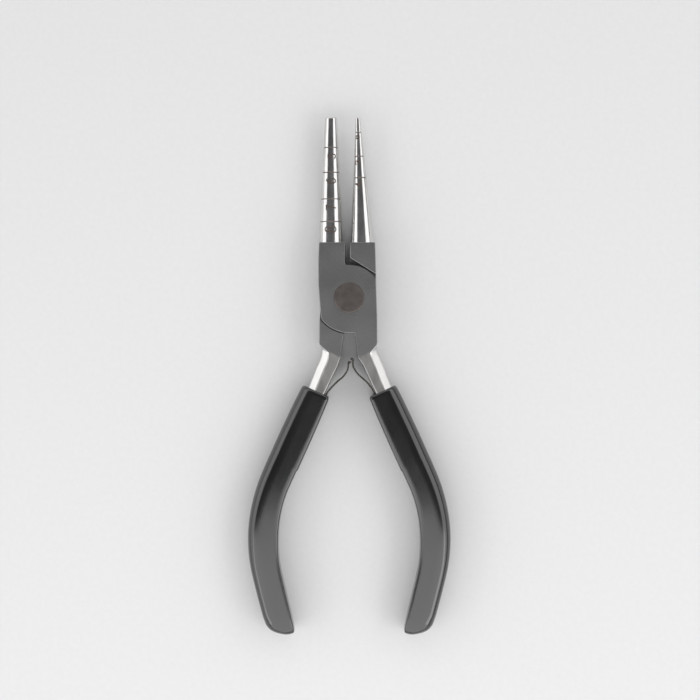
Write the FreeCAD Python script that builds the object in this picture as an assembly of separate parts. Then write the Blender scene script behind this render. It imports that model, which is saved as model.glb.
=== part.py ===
# Round nose pliers with a lap joint, two leaf springs and two grip sleeves, lying flat.
# X is across the tool, +Y points along the jaws and +Z is the pivot axis, up off the bench.
# The origin is on the pivot axis, in the back face of the joint. All lengths are millimetres.
import FreeCAD
import Part
import math
import os

Vector = FreeCAD.Vector
Z_AXIS = Vector(0, 0, 1)

# Joint: both halves are full thickness at the jaw and at the shoulder, and half of it between
JOINT_THICKNESS = 10.0
MID_Z = JOINT_THICKNESS / 2
LAP_GAP = 0.04                    # between the two plates that slide on each other
SIDE_GAP = 0.15                   # between a plate's round edge and the block it turns past
JAW_EDGE_RADIUS = 10.3            # round plate edge on the jaw side, about the pivot
HANDLE_EDGE_RADIUS = 11.0         # round plate edge on the handle side, about the pivot
BLOCK_TOP_Y = 17.2
BLOCK_CHAMFER = 0.5               # at the inner top corner, where the two blocks meet when closed
SLOT_ROOT_RADIUS = 1.0
CROTCH_RADIUS = 0.7
JAW_FOOT_RADIUS = 0.4
BLOCK_FACE_ANGLE = 122.0          # normal of a jaw block's flat end, which faces the other half's plate
PLATE_CORNER_X = 8.25             # where the plate's round edge meets its outer side
JAW_MIDDLE_Y = 6.0
WAIST_Y = -5.2
SHOULDER_TOP_Y = -7.6
SHOULDER_END_Y = -14.4
SHOULDER_CORNER = 0.3
CROTCH_X = 1.75
INNER_END = (2.6, -18.0)          # inner end of the flat shoulder, where the tang starts
NECK_Y = (-16.2, -19.0)           # outer and inner side of the neck, just below the flat shoulder
NECK_X = (8.55, 2.9)
NECK_THICKNESS = 9.7
NECK_CORNER = 1.0

# Rivet: a pin with a countersunk head at each end, ground flush with the joint
RIVET_HEAD_DIAMETER = 9.4
RIVET_PIN_DIAMETER = 6.0
RIVET_HEAD_DEPTH = 2.0
RIVET_HEAD_LAND = 0.3
RIVET_CLEARANCE = 0.04            # radial, in the half that turns

# Handle line, down the middle of a grip from its mouth: straight, one bend, straight
MOUTH_POINT = (10.3, -29.0)
SPLAY_ANGLE = 24.5                # outward from -Y, before the bend
RETURN_ANGLE = 13.5               # inward from -Y, after the bend
BEND_RADIUS = 45.0
BEND_START = 30.0                 # along the handle line, below the mouth
BEND_STEP = 4.0                   # longest stretch between two sections, where the line bends
GRIP_LENGTH = 80.4

# Tang: the steel of the handle, which runs on inside the grip
TANG_SIDE = 2.71                  # from its middle to its outer and inner side, inside the grip
TANG_LENGTH = 66.0                # below the mouth
# along the handle line, outer side, inner side, thickness, corner radius
TANG_SECTIONS = [
    (-10.2, 3.16, TANG_SIDE, 9.2, 1.7),
    (-6.5, 3.09, TANG_SIDE, 8.2, 2.2),
    (-2.0, 2.83, TANG_SIDE, 7.2, 2.0),
    (2.0, TANG_SIDE, TANG_SIDE, 6.8, 1.2),
    (BEND_START, TANG_SIDE, TANG_SIDE, 6.8, 1.2),
    (TANG_LENGTH, 2.2, 2.2, 5.6, 1.2),
]

# Grip sleeve: along the handle line, outer side, inner side, thickness, corner radius
GRIP_SECTIONS = [
    (0.0, 4.45, 4.45, 9.4, 3.2),
    (0.8, 4.65, 4.65, 10.0, 3.4),
    (9.0, 4.95, 4.95, 10.0, 3.6),
    (18.0, 5.05, 5.05, 10.0, 3.7),
    (BEND_START, 4.9, 4.9, 10.0, 3.7),
    (38.0, 4.8, 4.8, 10.0, 3.6),
    (49.0, 4.85, 4.75, 10.0, 3.6),
    (62.0, 4.95, 4.2, 10.0, 3.5),
    (72.0, 4.75, 4.15, 10.0, 3.5),
    (75.5, 4.5, 4.15, 9.9, 3.4),
    (77.4, 3.7, 4.15, 9.4, 3.0),
    (78.8, 2.2, 4.0, 8.4, 2.6),
    (79.8, 0.3, 3.8, 6.8, 1.7),
    (GRIP_LENGTH, -1.2, 3.1, 4.4, 0.8),
]

# Leaf springs: a strip held under each grip, whose free end is rolled into a bead
LEAF_THICKNESS = 0.6
LEAF_WIDTH = 4.4
BEAD_DIAMETER = 1.1
FOOT_END = 23.0
FOOT_ROOM_START = -1.0            # the grip's room for the foot is cut from just above its mouth
ROOT_GAP = 0.1                    # between the foot and the turning root of the leaf
LEAF_SEAT = 0.02                  # between the strip and the tang
SPRING_RIVET_AT = 12.0
SPRING_RIVET_DIAMETER = 2.0
SPRING_RIVET_HEAD = (3.4, 0.5)    # diameter, height

# Ring grooves on the jaws
GROOVE_WIDTH = 0.3
GROOVE_DEPTH = 0.12
CONE_SUNK = 1.0                   # how far the cone runs on into its block
TINY = 1e-4

# One entry a half. Places are in the half's own view, with its handle on the right (+) side.
# The tang's offset is outward from the handle line. The leaf root is the strip's flex line: how far
# along the handle line, and its lift off the tang. Its heading is from +Y towards the other half,
# and each stretch of the leaf is a length and the turn that it makes.
FRONT = {
    "hand": 1,                    # the handle is at +X
    "plate_layer": (MID_Z + LAP_GAP / 2, JOINT_THICKNESS),
    "block_layer": (0.0, MID_Z + LAP_GAP / 2),
    "jaw_outer": -9.34,
    "jaw_middle": -9.58,
    "jaw_foot": -8.6,
    "jaw_inner": -1.38,
    "waist": 8.62,
    "shoulder_top": 8.66,
    "shoulder_end": 8.7,
    "cone_base": -5.69,
    "cone_lean": 0.0,
    # height above the pivot, diameter
    "cone": [(17.2, 7.36), (23.75, 7.06), (30.8, 6.4), (39.1, 5.53), (46.9, 4.69), (56.4, 3.81)],
    "grooves": [23.75, 30.8, 39.1, 46.9],
    "tip_radius": 0.5,
    "tang_offset": 0.49,
    "leaf_root": -0.7,
    "leaf_lift": 0.06,
    "leaf_heading": 26.0,
    "leaf_stretches": [(4.7, 22.0), (2.0, 2.0), (6.0, -49.0)],
}
BACK = {
    "hand": -1,
    "plate_layer": (0.0, MID_Z - LAP_GAP / 2),
    "block_layer": (MID_Z - LAP_GAP / 2, JOINT_THICKNESS),
    "jaw_outer": -8.0,
    "jaw_middle": -8.3,
    "jaw_foot": -8.3,
    "jaw_inner": -0.24,
    "waist": 9.12,
    "shoulder_top": 9.25,
    "shoulder_end": 9.35,
    "cone_base": -4.0,
    "cone_lean": 1.95,            # towards the other jaw, in degrees
    "cone": [
        (17.2, 7.5), (23.75, 6.36), (30.6, 5.2), (37.5, 4.13), (44.2, 3.15), (51.7, 2.05), (56.4, 1.5)
    ],
    "grooves": [37.5, 44.2, 51.7],
    "tip_radius": 0.3,
    "tang_offset": -0.12,
    "leaf_root": -1.1,
    "leaf_lift": 0.25,
    "leaf_heading": 38.0,
    "leaf_stretches": [(3.8, 8.0), (2.0, 6.0), (6.0, -48.0)],
}


def flat(x, y):
    return Vector(x, y, 0)


def on_circle(radius, degrees):
    return flat(radius * math.cos(math.radians(degrees)), radius * math.sin(math.radians(degrees)))


def circle_at(radius, x, side):
    """Where an upright line crosses the circle about the pivot: side 1 is above it, -1 below."""
    return flat(x, side * math.sqrt(radius ** 2 - x ** 2))


def line(start, end):
    return Part.LineSegment(start, end).toShape()


def arc(start, middle, end):
    return Part.Arc(start, middle, end).toShape()


def arc_about_pivot(start, end):
    """The shorter arc about the pivot from one point of a circle to another."""
    middle = start + end
    middle.multiply(start.Length / middle.Length)
    return arc(start, middle, end)


def slab(edges, layer):
    """The closed outline, raised through a layer (bottom, top)."""
    bottom, top = layer
    face = Part.Face(Part.Wire(edges))
    face.translate(Z_AXIS * bottom)
    return face.extrude(Z_AXIS * (top - bottom))


def disc(radius, layer):
    bottom, top = layer
    return Part.makeCylinder(radius, top - bottom, Vector(0, 0, bottom))


def upright_edges(shape, places):
    """The upright edges that stand at the places."""
    found = []
    for edge in shape.Edges:
        first, last = edge.Vertexes[0].Point, edge.Vertexes[-1].Point
        if math.hypot(first.x - last.x, first.y - last.y) > TINY:
            continue
        if any(math.hypot(first.x - place.x, first.y - place.y) < TINY for place in places):
            found.append(edge)
    return found


def on_side(shape, hand):
    """The shape itself, or its mirror image for the half whose handle is at -X."""
    return shape if hand > 0 else shape.mirror(Vector(0, 0, 0), Vector(1, 0, 0))


def handle_frame(along, outward=0.0):
    """Point beside the right handle line, the line's downward direction and its outward normal."""
    splay = math.radians(SPLAY_ANGLE)
    full_turn = math.radians(SPLAY_ANGLE + RETURN_ANGLE)
    turn = min(max(along - BEND_START, 0.0) / BEND_RADIUS, full_turn)
    before = min(along, BEND_START)
    after = max(along - BEND_START - BEND_RADIUS * full_turn, 0.0)
    first_down = Vector(math.sin(splay), -math.cos(splay), 0)
    first_out = Vector(math.cos(splay), math.sin(splay), 0)
    down = Vector(math.sin(splay - turn), -math.cos(splay - turn), 0)
    out = Vector(math.cos(splay - turn), math.sin(splay - turn), 0)
    bend_centre = Vector(*MOUTH_POINT, MID_Z) + first_down * before - first_out * BEND_RADIUS
    return bend_centre + out * (BEND_RADIUS + outward) + down * after, down, out


def rounded_section(centre, out, width, thickness, corner):
    """Closed wire across a handle: a rectangle with four round corners."""
    edges = []
    last = None
    for quarter, (side, level) in enumerate([(1, 1), (-1, 1), (-1, -1), (1, -1)]):
        middle = centre + out * (side * (width / 2 - corner)) + Z_AXIS * (level * (thickness / 2 - corner))
        points = []
        for degrees in (0, 45, 90):
            turn = math.radians(90 * quarter + degrees)
            points.append(middle + out * (corner * math.cos(turn)) + Z_AXIS * (corner * math.sin(turn)))
        if last is not None:
            edges.append(line(last, points[0]))
        edges.append(arc(*points))
        last = points[2]
    edges.append(line(last, edges[0].Vertexes[0].Point))
    return Part.Wire(edges)


def with_bend_steps(sections):
    """The sections, with more of them blended in between so that they follow the bend."""
    stepped = [sections[0]]
    for first, last in zip(sections, sections[1:]):
        steps = 1
        if last[0] > BEND_START:
            steps = math.ceil((last[0] - first[0]) / BEND_STEP)
        for step in range(1, steps + 1):
            share = step / steps
            stepped.append(tuple(a + share * (b - a) for a, b in zip(first, last)))
    return stepped


def handle_section(section, outward):
    """Section wire across the right handle line, moved outward."""
    along, outer, inner, thickness, corner = section
    centre, _, out = handle_frame(along, outward + (outer - inner) / 2)
    return rounded_section(centre, out, outer + inner, thickness, corner)


def handle_loft(sections, outward):
    """Solid that follows the right handle line through the sections."""
    wires = [handle_section(section, outward) for section in with_bend_steps(sections)]
    return Part.makeLoft(wires, True, True)


def plan_edges(half):
    """Outline of one half's joint, seen with its handle on the right: jaw block, plate and shoulder."""
    top_outer = flat(half["jaw_outer"], BLOCK_TOP_Y)
    chamfer_top = flat(half["jaw_inner"] - BLOCK_CHAMFER, BLOCK_TOP_Y)
    chamfer_foot = flat(half["jaw_inner"], BLOCK_TOP_Y - BLOCK_CHAMFER)
    slot_root = circle_at(JAW_EDGE_RADIUS, half["jaw_inner"], 1)
    plate_corner = circle_at(JAW_EDGE_RADIUS, PLATE_CORNER_X, 1)
    waist = flat(half["waist"], WAIST_Y)
    shoulder_top = flat(half["shoulder_top"], SHOULDER_TOP_Y)
    shoulder_end = flat(half["shoulder_end"], SHOULDER_END_Y)
    inner_end = flat(*INNER_END)
    crotch = circle_at(HANDLE_EDGE_RADIUS, CROTCH_X, -1)
    jaw_foot = circle_at(HANDLE_EDGE_RADIUS, half["jaw_foot"], -1)
    return [
        line(top_outer, chamfer_top),
        line(chamfer_top, chamfer_foot),
        line(chamfer_foot, slot_root),
        arc_about_pivot(slot_root, plate_corner),
        line(plate_corner, waist),
        line(waist, shoulder_top),
        line(shoulder_top, shoulder_end),
        line(shoulder_end, inner_end),
        line(inner_end, crotch),
        arc_about_pivot(crotch, jaw_foot),
        arc(jaw_foot, flat(half["jaw_middle"], JAW_MIDDLE_Y), top_outer),
    ]


def plate(half):
    """The layer that takes the rivet, with its corners rounded."""
    edges = plan_edges(half)
    shape = slab(edges, half["plate_layer"])
    slot_root = circle_at(JAW_EDGE_RADIUS, half["jaw_inner"], 1)
    crotch = circle_at(HANDLE_EDGE_RADIUS, CROTCH_X, -1)
    jaw_foot = circle_at(HANDLE_EDGE_RADIUS, half["jaw_foot"], -1)
    shape = shape.makeFillet(SLOT_ROOT_RADIUS, upright_edges(shape, [slot_root]))
    shape = shape.makeFillet(CROTCH_RADIUS, upright_edges(shape, [crotch]))
    return shape.makeFillet(JAW_FOOT_RADIUS, upright_edges(shape, [jaw_foot]))


def block_layer(half):
    """The other layer: only the jaw block and the shoulder, clear of the other half's plate."""
    layer = half["block_layer"]
    whole = slab(plan_edges(half), layer)
    size = 4 * JAW_EDGE_RADIUS
    jaw_side = Part.makeBox(size, size, JOINT_THICKNESS, Vector(JAW_EDGE_RADIUS + SIDE_GAP, -size / 2, 0))
    jaw_side.rotate(Vector(0, 0, 0), Z_AXIS, BLOCK_FACE_ANGLE)
    shoulder_side = Part.makeBox(size, size, JOINT_THICKNESS, Vector(0, -size, 0))
    shoulder_side = shoulder_side.cut(disc(HANDLE_EDGE_RADIUS + SIDE_GAP, (0, JOINT_THICKNESS)))
    jaw_block = whole.common(jaw_side)
    shoulder = whole.common(shoulder_side)
    return jaw_block, shoulder


def cone(half):
    """Tapered round jaw with a rounded tip and ring grooves, leaning as the half says."""
    tip_y, tip_diameter = half["cone"][-1]
    tip_radius = half["tip_radius"]
    sides = [flat(diameter / 2, y) for y, diameter in half["cone"]]
    base = flat(sides[0].x, BLOCK_TOP_Y - CONE_SUNK)
    tip_side = flat(tip_diameter / 2, tip_y - tip_radius)
    tip_top = flat(tip_diameter / 2 - tip_radius, tip_y)
    tip_middle = tip_top + flat(0, -tip_radius) + on_circle(tip_radius, 45)
    outline = [base] + sides[:-1] + [tip_side]
    edges = [line(start, end) for start, end in zip(outline, outline[1:])]
    edges.append(arc(tip_side, tip_middle, tip_top))
    edges.append(line(tip_top, flat(0, tip_y)))
    edges.append(line(flat(0, tip_y), flat(0, base.y)))
    edges.append(line(flat(0, base.y), base))
    shape = Part.Face(Part.Wire(edges)).revolve(Vector(0, 0, 0), Vector(0, 1, 0), 360)
    for groove_y in half["grooves"]:
        shape = shape.cut(groove(half, groove_y))
    shape.rotate(flat(0, BLOCK_TOP_Y), Z_AXIS, -half["cone_lean"])
    shape.translate(Vector(half["cone_base"], 0, MID_Z))
    return shape


def groove(half, groove_y):
    """Ring of triangular section, to be cut from the cone."""
    radius = cone_radius(half, groove_y)
    floor = flat(radius - GROOVE_DEPTH, groove_y)
    rim_x = radius + GROOVE_DEPTH
    above = flat(rim_x, groove_y + GROOVE_WIDTH)
    below = flat(rim_x, groove_y - GROOVE_WIDTH)
    edges = [line(floor, above), line(above, below), line(below, floor)]
    return Part.Face(Part.Wire(edges)).revolve(Vector(0, 0, 0), Vector(0, 1, 0), 360)


def cone_radius(half, y):
    """Radius of the cone at a height, between its stations."""
    stations = half["cone"]
    for (low_y, low_diameter), (high_y, high_diameter) in zip(stations, stations[1:]):
        if y <= high_y:
            share = (y - low_y) / (high_y - low_y)
            return (low_diameter + share * (high_diameter - low_diameter)) / 2
    return stations[-1][1] / 2


def section_between(outer, inner, thickness, corner):
    """Section wire of the shoulder, from its outer side to its inner side."""
    across = outer - inner
    width = across.Length
    across.normalize()
    return rounded_section((outer + inner) * 0.5 + Z_AXIS * MID_Z, across, width, thickness, corner)


def tang(half):
    """The handle's steel, from the flat shoulder to its end inside the grip."""
    shoulder = section_between(
        flat(half["shoulder_end"], SHOULDER_END_Y), flat(*INNER_END), JOINT_THICKNESS, SHOULDER_CORNER
    )
    neck = section_between(
        flat(NECK_X[0], NECK_Y[0]), flat(NECK_X[1], NECK_Y[1]), NECK_THICKNESS, NECK_CORNER
    )
    top = handle_section(TANG_SECTIONS[0], half["tang_offset"])
    root = Part.makeLoft([shoulder, neck, top], True, True)
    return root.fuse(handle_loft(TANG_SECTIONS, half["tang_offset"]))


def half_body(half):
    """One forged half: jaw, plate, shoulder and tang, in place."""
    jaw_block, shoulder = block_layer(half)
    body = plate(half).fuse([jaw_block, shoulder, cone(half), tang(half)])
    return body.removeSplitter()


def rivet(clearance):
    """Pin and both countersunk heads, grown by a clearance to make a hole for them."""
    head = RIVET_HEAD_DIAMETER / 2 + clearance
    pin = RIVET_PIN_DIAMETER / 2 + clearance
    side = [
        flat(0, 0),
        flat(head, 0),
        flat(head, RIVET_HEAD_LAND),
        flat(pin, RIVET_HEAD_DEPTH),
        flat(pin, JOINT_THICKNESS - RIVET_HEAD_DEPTH),
        flat(head, JOINT_THICKNESS - RIVET_HEAD_LAND),
        flat(head, JOINT_THICKNESS),
        flat(0, JOINT_THICKNESS),
    ]
    edges = [line(start, end) for start, end in zip(side, side[1:] + side[:1])]
    shape = Part.Face(Part.Wire(edges)).revolve(Vector(0, 0, 0), Vector(0, 1, 0), 360)
    shape.rotate(Vector(0, 0, 0), Vector(1, 0, 0), 90)
    return shape


def front_half():
    return half_body(FRONT).cut(rivet(0.0)).cut(spring_rivet(FRONT))


def back_half():
    body = half_body(BACK).cut(spring_rivet(BACK))
    return on_side(body, BACK["hand"]).cut(rivet(RIVET_CLEARANCE))


def strip_offset(half):
    """Middle of the spring's foot, outward from the handle line: it lies on the tang's inner side."""
    return half["tang_offset"] - TANG_SIDE - LEAF_SEAT - LEAF_THICKNESS / 2


def handle_bar(start, end, inner, outer, width):
    """Straight bar along the right handle line, between two distances out from it."""
    corner, down, out = handle_frame(start, inner)
    corner.z -= width / 2
    across = out * (outer - inner)
    length = down * (end - start)
    corners = [corner, corner + across, corner + across + length, corner + length, corner]
    return Part.Face(Part.makePolygon(corners)).extrude(Z_AXIS * width)


def spring_foot(half):
    """The part of the spring strip that is held under the grip."""
    middle = strip_offset(half)
    start = half["leaf_root"] + LEAF_THICKNESS / 2 + ROOT_GAP
    foot = handle_bar(start, FOOT_END, middle - LEAF_THICKNESS / 2, middle + LEAF_THICKNESS / 2, LEAF_WIDTH)
    return foot.cut(spring_rivet(half))


def spring_rivet(half):
    """Small rivet through the spring's foot and the tang, with its head on the foot."""
    head_diameter, head_height = SPRING_RIVET_HEAD
    foot_face = strip_offset(half) - LEAF_THICKNESS / 2
    start, _, out = handle_frame(SPRING_RIVET_AT, foot_face)
    length = half["tang_offset"] + TANG_SIDE - foot_face
    pin = Part.makeCylinder(SPRING_RIVET_DIAMETER / 2, length, start, out)
    head = Part.makeCylinder(head_diameter / 2, head_height, start - out * head_height, out)
    return pin.fuse(head)


def spring_leaf(half):
    """Free leaf: a round root on its flex line, a bent strip, and the rolled bead at its end."""
    place, _, _ = handle_frame(half["leaf_root"], strip_offset(half) - half["leaf_lift"])
    place.z = MID_Z - LEAF_WIDTH / 2
    heading = half["leaf_heading"]
    pieces = [Part.makeCylinder(LEAF_THICKNESS / 2, LEAF_WIDTH, place)]
    for length, turn in half["leaf_stretches"]:
        stretch, place = leaf_stretch(place, heading, length, turn)
        pieces.append(stretch)
        heading += turn
    pieces.append(Part.makeCylinder(BEAD_DIAMETER / 2, LEAF_WIDTH, place))
    return pieces[0].fuse(pieces[1:])


def leaf_stretch(start, heading, length, turn):
    """One arc of the strip on the right side, and the place where it ends."""
    radius = length / math.radians(turn)
    centre = start + on_circle(radius, 180 + heading)
    half_way = centre + on_circle(radius, heading + turn / 2)
    end = centre + on_circle(radius, heading + turn)
    path = (start, half_way, end)
    near = away_from(centre, path, 1 - LEAF_THICKNESS / 2 / radius)
    far = away_from(centre, path, 1 + LEAF_THICKNESS / 2 / radius)
    edges = [arc(*near), line(near[2], far[2]), arc(*reversed(far)), line(far[0], near[0])]
    return Part.Face(Part.Wire(edges)).extrude(Z_AXIS * LEAF_WIDTH), end


def away_from(centre, points, share):
    """The points, with their distances from the centre scaled."""
    return [centre + (point - centre) * share for point in points]


def grip(half):
    """Sleeve with a closed round end, and a cavity for the tang and the spring's foot."""
    middle = strip_offset(half)
    inner_face = middle - LEAF_THICKNESS / 2
    foot_room = handle_bar(FOOT_ROOM_START, FOOT_END, inner_face, half["tang_offset"], LEAF_WIDTH)
    sleeve = handle_loft(GRIP_SECTIONS, 0.0)
    return sleeve.cut(tang(half)).cut(foot_room).cut(spring_rivet(half))


def export(name, shape):
    """Write one solid as one STEP file."""
    if len(shape.Solids) != 1 or not shape.isValid():
        raise ValueError(name + " is not one valid solid")
    shape.Solids[0].exportStep("parts/" + name + ".step")
    print(name, round(shape.Volume, 1), "mm3")


os.makedirs("parts", exist_ok=True)
export("front_half", front_half())
export("back_half", back_half())
export("joint_rivet", rivet(0.0))
for side, half in (("right", FRONT), ("left", BACK)):
    for name, make in (
        ("grip", grip),
        ("spring_leaf", spring_leaf),
        ("spring_foot", spring_foot),
        ("spring_rivet", spring_rivet),
    ):
        export(side + "_" + name, on_side(make(half), half["hand"]))
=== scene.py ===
"""Looks of the round nose pliers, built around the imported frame.

Lengths are millimetres until a mesh is finished, and it is then scaled to the frame's metres.
A half is described in its own view, with its handle at +X. The back half is the mirror image.
"""

import math

import bpy
import bmesh
from mathutils import Matrix, Vector


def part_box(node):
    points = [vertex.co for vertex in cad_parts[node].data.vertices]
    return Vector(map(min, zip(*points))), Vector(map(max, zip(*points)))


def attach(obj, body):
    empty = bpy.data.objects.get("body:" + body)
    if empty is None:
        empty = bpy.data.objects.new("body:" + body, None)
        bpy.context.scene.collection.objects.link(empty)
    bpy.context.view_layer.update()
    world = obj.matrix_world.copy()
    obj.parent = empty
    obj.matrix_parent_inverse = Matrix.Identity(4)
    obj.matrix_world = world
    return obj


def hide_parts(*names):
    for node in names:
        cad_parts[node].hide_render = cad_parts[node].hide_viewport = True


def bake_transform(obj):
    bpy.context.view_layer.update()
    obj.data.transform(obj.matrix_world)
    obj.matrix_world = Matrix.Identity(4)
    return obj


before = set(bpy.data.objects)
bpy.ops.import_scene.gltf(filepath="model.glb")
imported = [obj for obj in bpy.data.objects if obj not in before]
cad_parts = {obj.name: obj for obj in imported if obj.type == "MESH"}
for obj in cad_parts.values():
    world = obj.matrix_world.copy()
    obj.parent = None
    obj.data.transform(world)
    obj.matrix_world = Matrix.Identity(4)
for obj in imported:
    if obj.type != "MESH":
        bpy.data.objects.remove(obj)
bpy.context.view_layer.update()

MM = 0.001
SAME_POINT = 1e-5                 # points nearer than this are one point
PLATE_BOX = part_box("joint_rivet")
THICKNESS = (PLATE_BOX[1].z - PLATE_BOX[0].z) / MM
MID_Z = THICKNESS / 2
RIVET_RADIUS = (PLATE_BOX[1].x - PLATE_BOX[0].x) / MM / 2

# Joint, as in the CAD part
LAP_GAP = 0.04
JAW_EDGE_RADIUS = 10.3
HANDLE_EDGE_RADIUS = 11.0
SIDE_GAP = 0.15
BLOCK_TOP_Y = 17.2
BLOCK_CHAMFER = 0.5
BLOCK_FACE_ANGLE = 122.0
PLATE_CORNER_X = 8.25
WAIST_Y = -5.2
SHOULDER_TOP_Y = -7.6
SHOULDER_END_Y = -14.4
CROTCH_X = 1.75
INNER_END = (2.6, -18.0)
CROTCH_RADIUS = 0.7
JAW_FOOT_RADIUS = 0.4

# Joint, as it is finished and worn
WORN_GAP = 0.13                   # more room beside the plates, where their edges have worn
RIM = 0.22                        # rounding of the joint's edges
RIM_STEPS = 3
ARC_STEPS = 24                    # of the joint's long arcs

# Handle line, as in the CAD part
MOUTH_POINT = (10.3, -29.0)
SPLAY_ANGLE = 24.5
RETURN_ANGLE = 13.5
BEND_RADIUS = 45.0
BEND_START = 30.0

# Joint rivet: its pin and heads as in the CAD part, and its finish
RIVET_PIN_RADIUS = 3.0
RIVET_HEAD_DEPTH = 2.0
RIVET_ROUNDING = 0.2
HOLE_CLEARANCE = 0.03
HOLE_CHAMFER = 0.1

# Tang and spring strip, as in the CAD part
TANG_SIDE = 2.71                  # from its middle to its outer and inner side, inside the grip
TANG_END = 66.0                   # below the mouth
STRIP_THICKNESS = 0.6
STRIP_WIDTH = 4.4
STRIP_SEAT = 0.02                 # between the strip and the tang
EYE_DIAMETER = 1.1
FOOT_END = 23.0                   # below the mouth

# Spring strip, as it is finished
STRIP_TIP_THICKNESS = 0.5
STRIP_EDGE = 0.12                 # rounding of its edges
EYE_RADIUS = (EYE_DIAMETER - STRIP_TIP_THICKNESS) / 2

FRONT = {
    "name": "front",
    "side": "right",
    "hand": 1,
    "pocket": (-1.0, MID_Z + LAP_GAP / 2),
    "jaw_outer": -9.34,
    "jaw_middle": (-9.58, 6.0),
    "jaw_foot": -8.6,
    "jaw_inner": -1.38,
    "waist": 8.62,
    "shoulder_top": 8.66,
    "shoulder_end": 8.7,
    "cone_base": -5.69,
    "cone_lean": 0.0,
    # height above the pivot, diameter
    "cone": [
        (16.2, 7.4), (17.2, 7.36), (23.75, 7.06), (30.8, 6.4), (39.1, 5.53), (46.9, 4.69), (56.4, 3.81)
    ],
    "grooves": [23.75, 30.8, 39.1, 46.9],
    "tip_radius": 0.5,
    # digit, height above the pivot, how far right of the cone's middle, width and height of the digit
    "digits": [
        ("8", 21.3, -0.15, 1.95, 3.4),
        ("7", 28.1, 0.0, 1.7, 3.0),
        ("6", 36.4, 0.0, 1.7, 2.8),
        ("5", 44.1, 0.2, 1.6, 2.3),
    ],
    "tang_offset": 0.49,
    "neck_outer": (8.5, -16.1),
    "leaf_root": -0.7,
    "leaf_lift": 0.06,
    "leaf_heading": 26.0,
    "leaf_stretches": [(4.7, 22.0), (2.0, 2.0), (6.0, -49.0)],
}
BACK = {
    "name": "back",
    "side": "left",
    "hand": -1,
    "pocket": (MID_Z - LAP_GAP / 2, THICKNESS + 1.0),
    "jaw_outer": -8.0,
    "jaw_middle": (-8.3, 6.0),
    "jaw_foot": -8.3,
    "jaw_inner": -0.24,
    "waist": 9.12,
    "shoulder_top": 9.25,
    "shoulder_end": 9.35,
    "cone_base": -4.0,
    "cone_lean": 1.95,
    "cone": [
        (16.2, 7.6), (17.2, 7.5), (23.75, 6.36), (30.6, 5.2),
        (37.5, 4.13), (44.2, 3.15), (51.7, 2.05), (56.4, 1.5),
    ],
    "grooves": [37.5, 44.2, 51.7],
    "tip_radius": 0.3,
    "digits": [("4", 35.3, 0.5, 1.5, 1.9), ("3", 42.2, 0.45, 1.4, 1.5), ("2", 50.2, 0.3, 1.2, 1.0)],
    "tang_offset": -0.12,
    "neck_outer": (8.44, -16.05),
    "leaf_root": -1.1,
    "leaf_lift": 0.25,
    "leaf_heading": 38.0,
    "leaf_stretches": [(3.8, 8.0), (2.0, 6.0), (6.0, -48.0)],
}

# Strokes of the digits in a cell one unit wide and one high
DIGITS = {
    "2": [[(0.1, 0.76), (0.25, 0.95), (0.52, 1.0), (0.82, 0.9), (0.88, 0.7), (0.72, 0.45), (0.08, 0.0)],
          [(0.08, 0.0), (0.94, 0.0)]],
    "3": [[(0.1, 0.88), (0.3, 0.99), (0.6, 0.99), (0.84, 0.86), (0.8, 0.65), (0.4, 0.54)],
          [(0.4, 0.54), (0.85, 0.44), (0.94, 0.24), (0.72, 0.03), (0.36, 0.0), (0.06, 0.13)]],
    "4": [[(0.7, 0.0), (0.7, 1.0)], [(0.7, 1.0), (0.05, 0.3)], [(0.05, 0.3), (0.96, 0.3)]],
    "5": [[(0.88, 1.0), (0.2, 1.0)], [(0.2, 1.0), (0.12, 0.56)],
          [(0.12, 0.56), (0.45, 0.64), (0.8, 0.55), (0.94, 0.32), (0.8, 0.07), (0.45, 0.0), (0.08, 0.11)]],
    "6": [[(0.84, 0.95), (0.6, 1.0), (0.32, 0.86), (0.12, 0.55), (0.1, 0.24), (0.3, 0.02), (0.66, 0.02),
           (0.92, 0.22), (0.88, 0.46), (0.6, 0.6), (0.32, 0.52)]],
    "7": [[(0.06, 1.0), (0.94, 1.0)], [(0.94, 1.0), (0.6, 0.5), (0.42, 0.0)]],
    "8": [[(0.5, 1.0), (0.2, 0.92), (0.18, 0.66), (0.5, 0.54), (0.82, 0.66), (0.8, 0.92), (0.5, 1.0)],
          [(0.5, 0.54), (0.1, 0.42), (0.1, 0.12), (0.5, 0.0), (0.9, 0.12), (0.9, 0.42), (0.5, 0.54)]],
}
STROKE_RADIUS = 0.2
STROKE_DEPTH = 0.16


# ---------------- points and outlines

def polar(radius, degrees):
    turn = math.radians(degrees)
    return Vector((radius * math.cos(turn), radius * math.sin(turn)))


def arc_points(start, end, steps, centre=Vector((0, 0))):
    """Points of the shorter arc about the centre, from start to end."""
    first = start - centre
    last = end - centre
    turn = first.angle_signed(last)
    points = []
    for step in range(steps + 1):
        points.append(centre + Matrix.Rotation(-turn * step / steps, 2) @ first)
    return points


def arc_through(start, middle, end, steps):
    """Points of the arc from start to end by way of the middle point."""
    a = middle - start
    b = end - start
    cross = 2 * (a.x * b.y - a.y * b.x)
    centre = start + Vector((b.y * a.length_squared - a.y * b.length_squared,
                             a.x * b.length_squared - b.x * a.length_squared)) / cross
    return arc_points(start, end, steps, centre)


def on_circle(radius, x, side):
    """Point of the circle about the pivot at x, above the pivot or below it."""
    return Vector((x, side * math.sqrt(radius ** 2 - x ** 2)))


def trimmed(run, cut):
    """The run of points without its last stretch of the given length."""
    run = list(run)
    while len(run) > 1:
        last = (run[-1] - run[-2]).length
        if last > cut:
            run[-1] = run[-1].lerp(run[-2], cut / last)
            return run
        cut -= last
        run.pop()
    return run


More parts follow.
